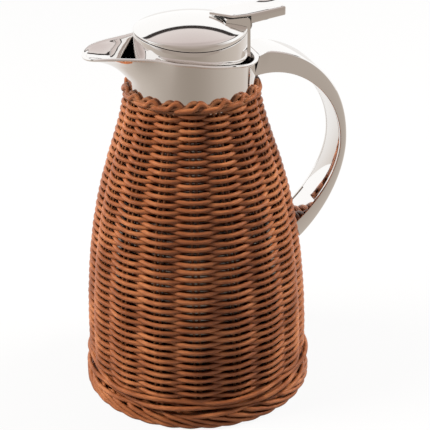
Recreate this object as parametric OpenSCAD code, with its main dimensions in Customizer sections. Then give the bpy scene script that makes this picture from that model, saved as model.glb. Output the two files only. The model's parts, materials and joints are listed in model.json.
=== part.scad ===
// Insulated pouring jug in a woven cane sleeve, with a flip lid, thumb lever and D handle.
// Millimetres. Origin on the ground under the jug's axis. Spout towards -X, handle towards +X.

/* [Woven sleeve] */
// Outer radius of the weave at the belly
belly_r = 73.5; // [70:0.5:80]
// Outer radius of the weave at its top row
weave_top_r = 45.4; // [45.2:0.1:48]
// Height where the weave meets the top border
weave_top_z = 196; // [180:1:205]
// Height where the belly stops being upright
belly_z = 25; // [24:1:40]
// How far the upright belly pulls the outline up
belly_pull = 108; // [80:1:115]
// How far the shoulder pulls the outline down
shoulder_pull = 30; // [15:1:36]
// How far the shoulder pulls the outline out
shoulder_swell = 6.2; // [3:0.1:9]
// Thickness of one woven strand
strand_t = 2.4; // [2:0.1:2.6]
// Depth of the weave's troughs between the stake pairs
trough_d = 1.1; // [0.4:0.1:1.6]
// Share of the way between two stake pairs that a trough takes up
trough_share = 0.5; // [0.3:0.05:0.6]
// Number of upright stake pairs
stake_pairs = 17; // [13:2:23]
// Width of one stake
stake_w = 2.3; // [1.6:0.1:2.6]
// Distance between the two stakes of a pair, centre to centre
stake_pair_gap = 3.4; // [2.8:0.1:5]
// Extra distance that the pair behind the handle is spread by
handle_spread = 7; // [6.6:0.2:9]
// Angle of the first stake pair from the spout
stake_start = 95; // [90:1:110]
// Height of the twined band above the foot border
foot_band_h = 12; // [8:1:15]
// How far the twined band stands out from the belly
foot_band_out = 2.5; // [1:0.25:4]
// Height of the rope border that the sleeve stands on
foot_border_h = 8; // [7.5:0.5:10]
// Width of the rope border
foot_border_w = 9; // [7:0.5:11]
// Height of the looped top border
top_border_h = 11; // [8:0.5:14]
// Thickness of the looped top border
top_border_t = 4; // [3:0.25:5]
// Thickness of the inner ring of the top border
border_core_t = 2; // [1.5:0.1:2.5]

/* [Base] */
// Thickness of the wooden base board
board_t = 6; // [4:0.5:8]
// Thickness of the felt pad under the board
felt_t = 0.8; // [0.5:0.1:1.5]
// Width of bare board around the felt pad
felt_margin = 6; // [3:0.5:12]

/* [Vacuum bottle] */
// Thickness of the sheet steel
steel_t = 0.8; // [0.5:0.1:1.2]
// Width of the vacuum gap
vacuum_gap = 5; // [3.5:0.25:7]
// Outer radius of the outer shell's neck
neck_r = 38; // [37:0.25:38]
// Bore radius of the mouth
mouth_r = 31.5; // [29:0.25:32]
// Height of the bottle's mouth
mouth_z = 206; // [202:0.5:208]
// Height of the chamfer at the bottle's foot
bottle_chamfer = 9; // [6:0.5:12]
// Radius of the evacuation plug
evac_r = 3; // [2:0.5:5]
// Height of the evacuation plug
evac_h = 3; // [2:0.5:4]
// Radius of the getter disc in the vacuum
getter_r = 8; // [5:0.5:12]
// Thickness of the getter disc
getter_t = 1; // [0.5:0.1:1.5]

/* [Collar and spout] */
// Thickness of the collar's wall
collar_t = 1.2; // [0.8:0.1:1.4]
// Thickness of the gasket between neck and collar
gasket_t = 0.8; // [0.5:0.1:1.2]
// Height of the gasket
gasket_h = 5; // [3:0.5:8]
// Height of the collar's rim above the jug's axis
rim_z = 233.5; // [231:0.5:235]
// Slope of the rim, rising to the spout
rim_slope = 6.5; // [4:0.25:7]
// Reach of the spout's tip from the axis
spout_reach = 66.5; // [62:0.5:76]
// Radius of the spout's tip
spout_tip_r = 17; // [12:0.5:19]
// Height of the collar wall below the spout
spout_root_h = 17; // [14:0.5:20]
// Depth of the spout's nose below its lip
spout_nose_h = 5; // [4:0.5:9]
// Thickness of the rolled lip beyond the wall
lip_out = 2.2; // [0.6:0.1:2.6]
// Height of the rolled lip
lip_h = 1.8; // [1.2:0.1:2.4]
// Height of the plastic ring that the stopper sits on
seat_h = 4.2; // [3:0.2:6]

/* [Handle] */
// Width of the handle band
handle_w = 27; // [22:0.5:30]
// Reach of the handle from the axis
handle_reach = 100.6; // [94:0.2:106]
// Height of the handle's farthest point
handle_far_z = 163; // [155:1:170]
// Drop of the handle's top below the rim
handle_top_drop = 1; // [0.5:0.25:2]
// Thickness of the handle at the collar
handle_root_t = 16; // [13:0.5:17]
// Thickness of the handle at its farthest point
handle_grip_t = 4.4; // [4:0.1:6]
// Height of the handle's lower end
handle_low_z = 96.5; // [92:0.5:100]
// Thickness of the handle at its lower end
handle_low_t = 11; // [10:0.5:12]
// Thickness of the handle's skin
handle_skin = 1.2; // [0.8:0.1:1.4]
// Thickness of the cover strip inside the handle
cover_t = 1.2; // [0.8:0.1:1.5]
// Radius of the stud that holds the handle's lower end
stud_r = 2.6; // [2:0.1:3]
// Radius of the screw that holds the handle's upper end
top_screw_r = 2; // [1.5:0.1:2.5]

/* [Lid] */
// Gap between the lid and the collar's bore
lid_gap = 3.4; // [3:0.1:3.8]
// Thickness of the lid's metal
lid_t = 1.2; // [0.8:0.1:1.4]
// Height of the skirt's upper edge
lid_rim_z = 241.5; // [240:0.5:243]
// Radius of the arched split between skirt and dome, seen from the side
split_r = 150; // [130:2:300]
// Height of the dome above the skirt
dome_h = 11.3; // [10.8:0.1:12.5]
// Depth of the stopper below the mouth
plug_depth = 18; // [14:0.5:22]
// Height of the stopper's head inside the skirt
plug_head_h = 8.8; // [7:0.2:10]
// Radius of the pouring well in the stopper
well_r = 13; // [10:0.5:14]
// Width of the pouring window in the skirt
window_w = 16; // [10:1:20]
// Height of the pouring window
window_h = 7; // [5:0.5:8]
// Thickness of the stopper's seal ring
seal_t = 1.3; // [1:0.1:1.6]
// Height of the stopper's seal ring
seal_h = 2.8; // [2:0.2:4]
// Radius of the screws in the lid
lid_screw_r = 1.5; // [1.2:0.1:1.8]
// Radius of the round plug plate under the cap
cap_plate_r = 15; // [14.5:0.25:16]

/* [Hinge and lever] */
// How far the hinge pin lies inside the lid's edge
pin_in = 2.4; // [2.2:0.1:2.8]
// Height of the hinge pin above the skirt's edge
pin_h = 4.6; // [4.5:0.1:5]
// Radius of the hinge pin
pin_r = 1.5; // [1.2:0.1:1.7]
// Radius of the rounded hinge ears
ear_r = 5; // [4.4:0.1:5.2]
// Thickness of one hinge ear
ear_t = 4; // [3:0.25:5]
// Distance from the axis at which the hinge's notch in the dome starts
notch_x = 19; // [18:0.5:24]
// Width of the knuckle between the ears
knuckle_w = 16.4; // [14:0.2:18]
// Width of the slot for the spring in the knuckle
spring_w = 6; // [4:0.5:8]
// Wire thickness of the spring
spring_t = 0.9; // [0.6:0.1:1]
// Distance of the lever's tip from the axis
lever_tip_x = 12; // [10:0.5:14]
// Distance of the lever's end from the axis
lever_end_x = 58; // [54:0.5:62]
// Width of the lever
lever_w = 25; // [22:0.5:27]
// Thickness of the lever's plate over the hinge
lever_t = 2.8; // [2.6:0.1:4]
// Thickness of the lever at its end
lever_end_t = 5.5; // [4:0.25:6]
// Depth of the lever's sides below its plate, behind the hinge
lever_flange_h = 3; // [1.5:0.25:3.5]
// Rise of the lever towards its end
lever_rise = 2.75; // [1:0.25:4]
// Radius of the thumb dimple
dimple_r = 8.5; // [6:0.5:10]
// Depth of the thumb dimple
dimple_d = 1; // [0.5:0.1:1.4]

/* [Hidden] */
$fn = 96;

// Clearances
eps = 0.01;        // lets a cut run past a face
fit = 0.05;        // running fit between turning pieces
seat_gap = 0.3;    // pieces of different bodies that rest on each other
stake_gap = 0.05;  // between the stakes and the two layers of weave

// Finish of the modelled outline
steps = 24;        // points along each curve
hull_fn = 40;      // roundness of pieces inside a hull

// Colours
cane = "peru";
steel = "silver";
plastic = "dimgray";
silicone = "gainsboro";

// ---------- outlines ----------
function bez(p, t) = pow(1 - t, 3) * p[0] + 3 * pow(1 - t, 2) * t * p[1]
                   + 3 * (1 - t) * t * t * p[2] + t * t * t * p[3];
function curve(p, n = steps) = [for (i = [0:n]) bez(p, i / n)];
function reversed(a) = [for (i = [len(a) - 1:-1:0]) a[i]];
function unit(v) = v / norm(v);

// Outline of the sleeve from the belly to the top row, moved inwards by d
function sleeve_line(d) = curve([
    [belly_r - d, belly_z],
    [belly_r - d, belly_z + belly_pull],
    [weave_top_r + shoulder_swell - d, weave_top_z - shoulder_pull],
    [weave_top_r - d, weave_top_z]]);

// The same outline with fewer points, for the troughs
function trough_line(d) = curve([
    [belly_r - d, belly_z],
    [belly_r - d, belly_z + belly_pull],
    [weave_top_r + shoulder_swell - d, weave_top_z - shoulder_pull],
    [weave_top_r - d, weave_top_z]], steps / 3);

board_z = felt_t;
bottle_z = board_z + board_t;
weave_z = foot_border_h + foot_band_h;
weave_wall = 3 * strand_t;
bottle_in = weave_wall + 0.1;          // inset of the bottle from the sleeve's outline
foot_r = belly_r + foot_band_out;
board_r = foot_r - foot_border_w - seat_gap;
collar_r = neck_r + gasket_t + collar_t;
lid_r = collar_r - collar_t - lid_gap;
pin_x = lid_r - pin_in;
border_r = collar_r + seat_gap + border_core_t + stake_gap;

module sleeve_layer(d0, d1)
    rotate_extrude() polygon(concat(
        [[belly_r - d0, weave_z]], sleeve_line(d0),
        reversed(sleeve_line(d1)), [[belly_r - d1, weave_z]]));

// Everything inside the sleeve's outer face, grown by g
module sleeve_solid(g)
    rotate_extrude() polygon(concat([[0, weave_z], [belly_r + g, weave_z]],
                                    sleeve_line(-g), [[0, weave_top_z]]));

module ring(r0, r1, h) rotate_extrude() polygon([[r0, 0], [r1, 0], [r1, h], [r0, h]]);
module at_z(z) translate([0, 0, z]) children();
module around(n, r, start = 0) for (i = [0:n - 1]) rotate(start + i * 360 / n) translate([r, 0, 0]) children();

// ---------- base ----------
module felt_pad() color("darkslategray") cylinder(r = board_r - felt_margin, h = felt_t);

module base_board() color("burlywood") at_z(board_z) cylinder(r = board_r, h = board_t);

// Rope border: flat where it stands, rounded outside
module foot_border() {
    soft = foot_border_h / 3;
    color(cane) rotate_extrude() difference() {
        polygon([[board_r + seat_gap, 0], [foot_r - soft, 0], [foot_r - soft / 4, soft / 2],
                 [foot_r, soft], [foot_r, foot_border_h - soft],
                 [foot_r - soft / 4, foot_border_h - soft / 2],
                 [foot_r - soft, foot_border_h], [board_r + seat_gap, foot_border_h]]);
    }
}

module foot_weave() color(cane) at_z(foot_border_h) {
    ring(belly_r - strand_t + stake_gap, foot_r - stake_gap, foot_band_h);
    ring(belly_r - weave_wall, belly_r - 2 * strand_t - stake_gap, foot_band_h);
}

// ---------- sleeve ----------
module stud_hole(r) translate([0, 0, stud_z]) rotate([0, 90, 0]) cylinder(r = r, h = handle_reach);

// Shallow trough midway between two stake pairs, where the rows cross
module trough() rotate(180 + stake_start + (1 - trough_share) / 2 * stake_pitch)
    rotate_extrude(angle = trough_share * stake_pitch) polygon(concat(
        [[belly_r - trough_d, weave_z - 1]], trough_line(trough_d),
        [[weave_top_r - trough_d, weave_top_z + 1], [belly_r + 2, weave_top_z + 1], [belly_r + 2, weave_z - 1]]));

module weave_outer() color(cane) difference() {
    sleeve_layer(0, strand_t);
    stud_hole(stud_r + seat_gap);
    for (i = [0:stake_pairs - 1]) rotate(i * stake_pitch) trough();
}

module weave_inner() color(cane) difference() {
    sleeve_layer(2 * strand_t, weave_wall);
    stud_hole(stud_r + seat_gap);
}

stake_pitch = 360 / stake_pairs;
function turned(a) = a - 360 * floor((a + 180) / 360);
// The pair nearest the handle is spread to let the stud through
function spread(a) = abs(turned(a)) < stake_pitch / 2 ? handle_spread : 0;

module one_stake(a) {
    half = stake_w / belly_r / 2 * 180 / PI;
    rotate(a - half) rotate_extrude(angle = 2 * half) polygon(concat(
        [[belly_r - strand_t - stake_gap, foot_border_h]], sleeve_line(strand_t + stake_gap),
        reversed(sleeve_line(2 * strand_t - stake_gap)),
        [[belly_r - 2 * strand_t + stake_gap, foot_border_h]]));
}

module sleeve_stakes() color("sienna") for (i = [0:stake_pairs - 1]) {
    a = turned(180 + stake_start + i * stake_pitch);
    off = (stake_pair_gap + spread(a)) / belly_r / 2 * 180 / PI;
    centre = spread(a) > 0 ? 0 : a;
    for (side = [-1, 1]) one_stake(centre + side * off);
}

module top_border() {
    soft = top_border_t / 3;
    color(cane) at_z(weave_top_z + stake_gap) rotate_extrude() polygon([
        [border_r, 0], [border_r + top_border_t, 0], [border_r + top_border_t, top_border_h - 2 * soft],
        [border_r + top_border_t - soft / 3, top_border_h - soft],
        [border_r + top_border_t - soft, top_border_h], [border_r, top_border_h]]);
}

module border_core() color("saddlebrown") at_z(weave_top_z + stake_gap)
    ring(collar_r + seat_gap, border_r - stake_gap, top_border_h - border_core_t);

// ---------- vacuum bottle ----------
// Outline of the bottle from the belly to the neck, moved inwards by d
function bottle_line(d) = curve([
    [belly_r - bottle_in - d, belly_z],
    [belly_r - bottle_in - d, belly_z + belly_pull],
    [weave_top_r + shoulder_swell - bottle_in - d, weave_top_z - shoulder_pull],
    [neck_r - stake_gap - d, weave_top_z]]);

bottle_foot_r = belly_r - bottle_in - bottle_chamfer / 2;
liner_in = steel_t + vacuum_gap;
liner_z = bottle_z + steel_t + vacuum_gap + getter_t;

module outer_shell() color(steel) rotate_extrude() polygon(concat(
    [[bottle_foot_r, bottle_z], [belly_r - bottle_in, bottle_z + bottle_chamfer]], bottle_line(0),
    [[neck_r, weave_top_z + eps], [neck_r, mouth_z],
     [neck_r - steel_t, mouth_z], [neck_r - steel_t, weave_top_z + eps]],
    reversed(bottle_line(steel_t)),
    [[belly_r - bottle_in - steel_t, bottle_z + bottle_chamfer], [bottle_foot_r - steel_t, bottle_z]]));

module shell_base() color(steel) at_z(bottle_z) cylinder(r = bottle_foot_r - steel_t, h = steel_t);

module evac_plug() color("dimgray") at_z(bottle_z + steel_t) cylinder(r = evac_r, h = evac_h);

module getter_disc() color("gray") at_z(liner_z - getter_t) cylinder(r = getter_r, h = getter_t);

// Narrow part of the liner, below its flange
function liner_line(d) = curve([
    [belly_r - bottle_in - liner_in - d, belly_z],
    [belly_r - bottle_in - liner_in - d, belly_z + belly_pull],
    [mouth_r + steel_t + shoulder_swell - d, weave_top_z - shoulder_pull],
    [mouth_r + steel_t - d, weave_top_z - liner_in]]);

module inner_liner() {
    wall_r = belly_r - bottle_in - liner_in;
    color(steel) rotate_extrude() polygon(concat(
        [[0, liner_z], [wall_r - bottle_chamfer / 2, liner_z], [wall_r, liner_z + bottle_chamfer]],
        liner_line(0),
        [[mouth_r + steel_t, mouth_z], [neck_r, mouth_z], [neck_r, mouth_z + steel_t],
         [mouth_r, mouth_z + steel_t]],
        reversed(liner_line(steel_t)),
        [[wall_r - steel_t, liner_z + bottle_chamfer],
         [wall_r - bottle_chamfer / 2 - steel_t, liner_z + steel_t], [0, liner_z + steel_t]]));
}

// ---------- collar ----------
gasket_z = mouth_z - gasket_h - steel_t;
seat_z = mouth_z + steel_t;
seat_top = seat_z + seat_h;

module collar_gasket() color(silicone) at_z(gasket_z) ring(neck_r, neck_r + gasket_t, gasket_h);

module seat_ring() color(plastic) at_z(seat_z) ring(mouth_r + fit, collar_r - collar_t, seat_h);

// Height of the sloping rim at x
function rim_at(x) = rim_z - x * tan(rim_slope);
spout_x = spout_reach - spout_tip_r;

// Outline of the rim seen from above, moved inwards by d
module rim_plan(d) hull() {
    circle(r = collar_r - d, $fn = 2 * hull_fn);
    translate([-spout_x, 0]) circle(r = spout_tip_r - d, $fn = hull_fn);
}

// The spout's body before the rim cut, moved inwards by d and up by d
module spout_body(d) hull() {
    tip_z = rim_at(-spout_x) - lip_h;
    at_z(rim_z - spout_root_h + d) cylinder(r = collar_r - d, h = 2 * spout_root_h, $fn = 2 * hull_fn);
    translate([-spout_x, 0, tip_z + d]) cylinder(r = spout_tip_r - d, h = 2 * spout_root_h, $fn = hull_fn);
    translate([-spout_x, 0, tip_z - spout_nose_h + d])
        cylinder(r = spout_tip_r / 2 + 0.6 - d, h = spout_nose_h, $fn = hull_fn);
}

module above_rim() translate([0, 0, rim_z]) rotate([0, rim_slope, 0])
    translate([-2 * spout_reach, -2 * spout_reach, 0]) cube(4 * spout_reach);

module collar() {
    color(steel) difference() {
        union() {
            at_z(weave_top_z + 2 * stake_gap) cylinder(r = collar_r, h = 2 * (rim_z - weave_top_z));
            spout_body(0);
        }
        at_z(weave_top_z - eps) cylinder(r = collar_r - collar_t, h = 4 * (rim_z - weave_top_z));
        spout_body(collar_t);
        above_rim();
        top_screw_cut(top_screw_r);
    }
    color(steel) translate([0, 0, rim_z]) rotate([0, rim_slope, 0]) translate([0, 0, -lip_h])
        linear_extrude(lip_h) difference() {
            rim_plan(-lip_out);
            rim_plan(eps);
        }
}

// ---------- handle ----------
handle_top_z = rim_at(collar_r) + handle_top_drop;
handle_under_z = handle_top_z - handle_root_t;
handle_bend = 33;     // pull of the handle's curves towards their corners
inner_far = handle_reach - handle_grip_t;
low_x = belly_r - 4.5;

function handle_out(t) = t < 0.5
    ? bez([[collar_r - 2, handle_top_z], [collar_r + handle_bend, handle_top_z],
           [handle_reach, handle_far_z + handle_bend + 9], [handle_reach, handle_far_z]], 2 * t)
    : bez([[handle_reach, handle_far_z], [handle_reach, handle_far_z - handle_bend + 10],
           [low_x + 19, handle_low_z + 17.5], [low_x, handle_low_z]], 2 * t - 1);
function handle_in(t) = t < 0.5
    ? bez([[collar_r - 2, handle_under_z], [collar_r + handle_bend - 7, handle_under_z + 6.5],
           [inner_far, handle_far_z + handle_bend], [inner_far, handle_far_z - 1]], 2 * t)
    : bez([[inner_far, handle_far_z - 1], [inner_far, handle_far_z - handle_bend + 13],
           [low_x + 15, handle_low_z + handle_low_t + 14.5],
           [low_x - 3, handle_low_z + handle_low_t]], 2 * t - 1);
// Point at t, a fixed distance from the inner face, or from the outer face when d is negative
function handle_between(t, d) =
    let (i = handle_in(t), o = handle_out(t))
    d < 0 ? o + unit(o - i) * d : i + unit(o - i) * d;
function handle_band(t0, t1, d0, d1) = concat(
    [for (i = [0:steps]) handle_between(t0 + (t1 - t0) * i / steps, d0)],
    [for (i = [steps:-1:0]) handle_between(t0 + (t1 - t0) * i / steps, d1)]);

module side_plate(w) rotate([90, 0, 0]) linear_extrude(w, center = true) children();

module cover_shape(g) side_plate(handle_w - 4 * handle_skin + 2 * g)
    polygon(handle_band(0.06, 0.86, -0.001 * g, cover_t + g));

stud_z = handle_low_z + 0.66 * handle_low_t;
stud_end = low_x + 4;
top_screw_z = handle_top_z - handle_root_t / 2;
module top_screw_cut(r) translate([0, 0, top_screw_z]) rotate([0, 90, 0]) cylinder(r = r, h = collar_r + 8);

module handle_shell() color(steel) difference() {
    side_plate(handle_w) polygon(concat(
        [for (i = [0:2 * steps]) handle_out(i / steps / 2)],
        [for (i = [2 * steps:-1:0]) handle_in(i / steps / 2)]));
    side_plate(handle_w - 2 * handle_skin) polygon(handle_band(0.16, 0.8, cover_t + eps, -handle_skin));
    cover_shape(0);
    cylinder(r = collar_r, h = 2 * rim_z);
    translate([0, 0, rim_z]) rotate([0, rim_slope, 0]) translate([0, 0, -lip_h - fit])
        cylinder(r = collar_r + lip_out + fit, h = 4 * lip_h);
    sleeve_solid(seat_gap);
    translate([0, 0, stud_z]) rotate([0, 90, 0]) cylinder(r = stud_r, h = stud_end);
    top_screw_cut(top_screw_r);
}

module handle_cover() color("gray") cover_shape(0);

module handle_stud() color(steel) difference() {
    translate([0, 0, stud_z]) rotate([0, 90, 0]) cylinder(r = stud_r, h = stud_end);
    rotate_extrude() polygon(concat([[0, belly_z]], bottle_line(0), [[0, weave_top_z]]));
}

module handle_top_screw() color(steel) {
    head_t = 1.5;
    head_x = collar_r - collar_t - head_t - 6 * fit;
    translate([head_x, 0, top_screw_z]) rotate([0, 90, 0]) cylinder(r = 1.7 * top_screw_r, h = head_t);
    translate([head_x + head_t, 0, top_screw_z]) rotate([0, 90, 0])
        cylinder(r = top_screw_r, h = collar_r + 8 - head_x - head_t);
}

// ---------- stopper ----------
plug_z = mouth_z - plug_depth;
plug_head_z = seat_top + seat_gap;
deck_z = plug_head_z + plug_head_h;
plug_r = mouth_r - 0.5;
seal_z = plug_z + plug_depth / 2 + 2;
skirt_z = plug_head_z + 3;
plug_head_r = lid_r - lid_t - fit;
screw_circle = (well_r + 3.5 + lid_r - lid_t) / 2 + 2;
screw_count = 3;

module stopper_seal() color(silicone) at_z(seal_z + fit)
    ring(mouth_r - seal_t, mouth_r - 2 * fit, seal_h - 2 * fit);

module stopper_plug() color(plastic) difference() {
    union() {
        at_z(plug_z) cylinder(r = plug_r, h = deck_z - plug_z);
        at_z(plug_head_z) cylinder(r = plug_head_r, h = deck_z - plug_head_z);
    }
    at_z(plug_z - eps) cylinder(r = well_r, h = 2 * (deck_z - plug_z));
    at_z(seal_z) ring(mouth_r - seal_t - fit, mouth_r, seal_h);
    lid_screw_shafts();
}

lid_screw_len = plug_head_h - 1;
module lid_screw_shafts(into_head = 0) at_z(deck_z - lid_screw_len) around(screw_count, screw_circle)
    cylinder(r = lid_screw_r, h = lid_screw_len + lid_t + into_head);

module lid_screws() color(steel) {
    lid_screw_shafts(lid_screw_r);
    at_z(deck_z + lid_t) around(screw_count, screw_circle) cylinder(r = 1.8 * lid_screw_r, h = lid_screw_r);
}

// ---------- lid ----------
split_rise = lid_r * lid_r / (2 * split_r);    // how much higher the split is at both ends
pin_z = lid_rim_z + pin_h;
tower_r = lid_r + 1.2;
tower_w = knuckle_w + 2 * (ear_t + seat_gap);
tower_x = notch_x;

module across_y(r, w) translate([pin_x, 0, pin_z]) rotate([90, 0, 0]) cylinder(r = r, h = w, center = true);

module ears() intersection() {
    cylinder(r = tower_r, h = 2 * lid_rim_z);
    difference() {
        union() {
            across_y(ear_r, tower_w);
            translate([tower_x, -tower_w / 2, skirt_z + 12]) cube([2 * lid_r, tower_w, pin_z - skirt_z - 12]);
        }
        cylinder(r = lid_r - lid_t, h = lid_rim_z - 2);
    }
}

// Everything above the arched split at height z
module above_split(z) at_z(z + split_r) rotate([90, 0, 0])
    cylinder(r = split_r, h = 4 * lid_r, center = true, $fn = 2 * $fn);

module lid_skirt() color(steel) difference() {
    union() {
        difference() {
            at_z(skirt_z) ring(lid_r - lid_t, lid_r, lid_rim_z + split_rise + 1 - skirt_z);
            above_split(lid_rim_z);
        }
        at_z(deck_z) ring(well_r + 3.5, lid_r - lid_t + eps, lid_t);
        ears();
    }
    lid_screw_shafts();
    across_y(pin_r, tower_w + 2);
    translate([0, -knuckle_w / 2 - seat_gap, lid_rim_z - 0.3])
        cube([2 * lid_r, knuckle_w + 2 * seat_gap, 2 * ear_r + pin_h]);
    translate([-2 * lid_r, -window_w / 2, deck_z + lid_t]) cube([2 * lid_r - well_r, window_w, window_h]);
}

module hinge_pin() color(steel) across_y(pin_r, tower_w);

// Torsion spring around the pin, with a leg on the skirt and a leg under the cap
module hinge_spring() color("gray") {
    difference() {
        across_y(pin_r + 2 * fit + spring_t, spring_w - 4 * fit);
        across_y(pin_r + 2 * fit, spring_w);
    }
    translate([pin_x - 2 * spring_t - pin_r, -spring_t, lid_rim_z - 0.3 + fit])
        cube([spring_t, 2 * spring_t, pin_h + 0.3 - fit]);
}

// ---------- cap ----------
dome_z = lid_rim_z + seat_gap;
dome_edge = split_rise + 0.3;
dome_rise = dome_h - dome_edge;
dome_r = (lid_r * lid_r + dome_rise * dome_rise) / (2 * dome_rise);
dome_c = dome_z + dome_edge + dome_rise - dome_r;    // height of the dome's centre
knuckle_r = pin_h - seat_gap;
boss_r = 3;
boss_circle = 21;
cap_x = tower_x - seat_gap - 0.4;

module dome_solid(d) intersection() {
    at_z(dome_c) sphere(r = dome_r - d, $fn = 2 * $fn);
    at_z(dome_z) cylinder(r = lid_r - d, h = dome_h);
}

module tower_clear() translate([cap_x, -tower_w / 2 - seat_gap, dome_z - dome_h])
    cube([lid_r, tower_w + 2 * seat_gap, 3 * dome_h]);

module knuckle() {
    across_y(knuckle_r, knuckle_w);
    translate([cap_x - lid_t, -knuckle_w / 2, pin_z - knuckle_r + 1])
        cube([pin_x - cap_x + lid_t, knuckle_w, lever_z - pin_z + knuckle_r - 1]);
}

module dome_cap() color(steel) difference() {
    union() {
        difference() {
            dome_solid(0);
            difference() {
                dome_solid(lid_t);
                at_z(dome_z) around(screw_count, boss_circle, 60) cylinder(r = boss_r, h = dome_h);
                translate([cap_x - lid_t, -tower_w / 2, dome_z]) cube([lid_t, tower_w, dome_h]);
            }
            tower_clear();
            difference() {
                at_z(dome_z - 1) ring(lid_r - lid_t - seat_gap, lid_r + 1, split_rise + 2);
                above_split(dome_z);
            }
        }
        intersection() {
            knuckle();
            at_z(dome_z) cylinder(r = tower_r, h = 2 * dome_h);
        }
    }
    across_y(pin_r + 3 * fit, 2 * tower_w);
    translate([pin_x - knuckle_r, -spring_w / 2, pin_z - 2 * pin_h])
        cube([2 * pin_h, spring_w, 2 * pin_h + pin_r + spring_t + 5 * fit]);
    cap_screw_shafts();
    lever_screw_shaft();
    translate([lever_screw_x, 0, dome_z - 1])
        cylinder(r = 1.6 * lid_screw_r + fit, h = lever_screw_z - dome_z + 1);
}

liner_t = 2.2;
liner_top = dome_z;
cap_seal_z = deck_z + seat_gap;
cap_seal_t = 3;
stem_z = cap_seal_z + cap_seal_t;

module cap_liner() color(plastic) difference() {
    union() {
        at_z(liner_top - liner_t) cylinder(r = lid_r - lid_t - 1.2, h = liner_t);
        at_z(stem_z) cylinder(r = cap_plate_r, h = lid_t);
        at_z(stem_z) cylinder(r = cap_plate_r - 3, h = liner_top - stem_z);
    }
    at_z(stem_z + lid_t) cylinder(r = cap_plate_r - 5, h = dome_h * 2);
    tower_clear_below();
    cap_screw_shafts();
}

module tower_clear_below() translate([cap_x - 1.5, -lid_r, stem_z]) cube([lid_r, 2 * lid_r, dome_h * 2]);

module cap_seal() color(silicone) at_z(cap_seal_z) cylinder(r = cap_plate_r, h = cap_seal_t);

cap_screw_len = liner_t + 1.3 * boss_r;
module cap_screw_shafts(into_head = 0) at_z(liner_top - liner_t - into_head)
    around(screw_count, boss_circle, 60) cylinder(r = 0.8 * lid_screw_r, h = cap_screw_len + into_head);

module cap_screws() color(steel) {
    cap_screw_shafts(lid_screw_r);
    at_z(liner_top - liner_t - lid_screw_r) around(screw_count, boss_circle, 60)
        cylinder(r = 1.6 * lid_screw_r, h = lid_screw_r);
}

// ---------- lever ----------
lever_z = pin_z + ear_r + 0.4;                 // underside of the lever over the hinge
lever_top = lever_z + lever_t;
lever_screw_x = cap_x + 4.5;

flange_x = tower_r + 0.2;                      // where the lever gets its full depth, clear of the ears

module lever_plan() polygon([[lever_tip_x, 0], [lever_tip_x + lever_w / 2, -lever_w / 2],
    [lever_end_x - 2, -lever_w / 2], [lever_end_x, 2 - lever_w / 2],
    [lever_end_x, lever_w / 2 - 2], [lever_end_x - 2, lever_w / 2],
    [lever_tip_x + lever_w / 2, lever_w / 2]]);

module lever_side() side_plate(2 * lever_w) polygon([
    [0, pin_z], [cap_x, pin_z], [cap_x, lever_z], [flange_x, lever_z],
    [flange_x, lever_z - lever_flange_h],
    [lever_end_x, lever_top + lever_rise - lever_end_t], [lever_end_x, lever_top + lever_rise],
    [pin_x, lever_top], [0, lever_top]]);

module thumb_lever() color(steel) difference() {
    intersection() {
        at_z(pin_z - pin_h) linear_extrude(8 * lever_t) lever_plan();
        lever_side();
    }
    at_z(dome_c) sphere(r = dome_r, $fn = 2 * $fn);
    tilt = atan(lever_rise / (lever_end_x - pin_x));
    ball = (dimple_r * dimple_r + dimple_d * dimple_d) / (2 * dimple_d);
    translate([lever_end_x - dimple_r - 3, 0, lever_top + lever_rise * 0.6])
        rotate([0, -tilt, 0]) at_z(ball - dimple_d) sphere(r = ball, $fn = 2 * $fn);
    lever_screw_shaft();
}

lever_screw_z = pin_z + 0.8;                   // seat of the screw's head in the knuckle
module lever_screw_shaft() translate([lever_screw_x, 0, lever_screw_z])
    cylinder(r = lid_screw_r, h = lever_top - lever_screw_z - 0.8);

module lever_screw() color(steel) {
    lever_screw_shaft();
    translate([lever_screw_x, 0, lever_screw_z - 1.5]) cylinder(r = 1.6 * lid_screw_r, h = 1.5);
}

felt_pad();
base_board();
foot_border();
foot_weave();
weave_outer();
weave_inner();
sleeve_stakes();
top_border();
border_core();
outer_shell();
shell_base();
evac_plug();
getter_disc();
inner_liner();
collar_gasket();
collar();
seat_ring();
handle_shell();
handle_cover();
handle_stud();
handle_top_screw();
stopper_seal();
stopper_plug();
lid_skirt();
lid_screws();
hinge_pin();
hinge_spring();
dome_cap();
cap_liner();
cap_seal();
cap_screws();
thumb_lever();
lever_screw();
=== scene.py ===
import json
import math

import bmesh
import bpy
from mathutils import Matrix, Vector


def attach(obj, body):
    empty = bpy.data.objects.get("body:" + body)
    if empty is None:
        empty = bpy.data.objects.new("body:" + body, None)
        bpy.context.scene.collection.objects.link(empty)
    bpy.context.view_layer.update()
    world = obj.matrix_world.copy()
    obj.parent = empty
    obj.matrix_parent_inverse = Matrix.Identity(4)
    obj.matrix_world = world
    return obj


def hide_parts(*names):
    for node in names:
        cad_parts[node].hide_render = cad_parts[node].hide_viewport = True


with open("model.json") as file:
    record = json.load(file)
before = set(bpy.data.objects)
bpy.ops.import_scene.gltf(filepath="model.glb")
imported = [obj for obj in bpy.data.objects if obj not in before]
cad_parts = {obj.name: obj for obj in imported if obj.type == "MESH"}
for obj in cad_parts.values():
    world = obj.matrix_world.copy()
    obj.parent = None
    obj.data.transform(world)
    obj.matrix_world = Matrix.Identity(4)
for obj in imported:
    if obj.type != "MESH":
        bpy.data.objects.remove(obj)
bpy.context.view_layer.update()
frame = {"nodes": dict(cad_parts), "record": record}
nodes = frame["nodes"]
MM = 0.001
TURN = 2 * math.pi


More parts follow.
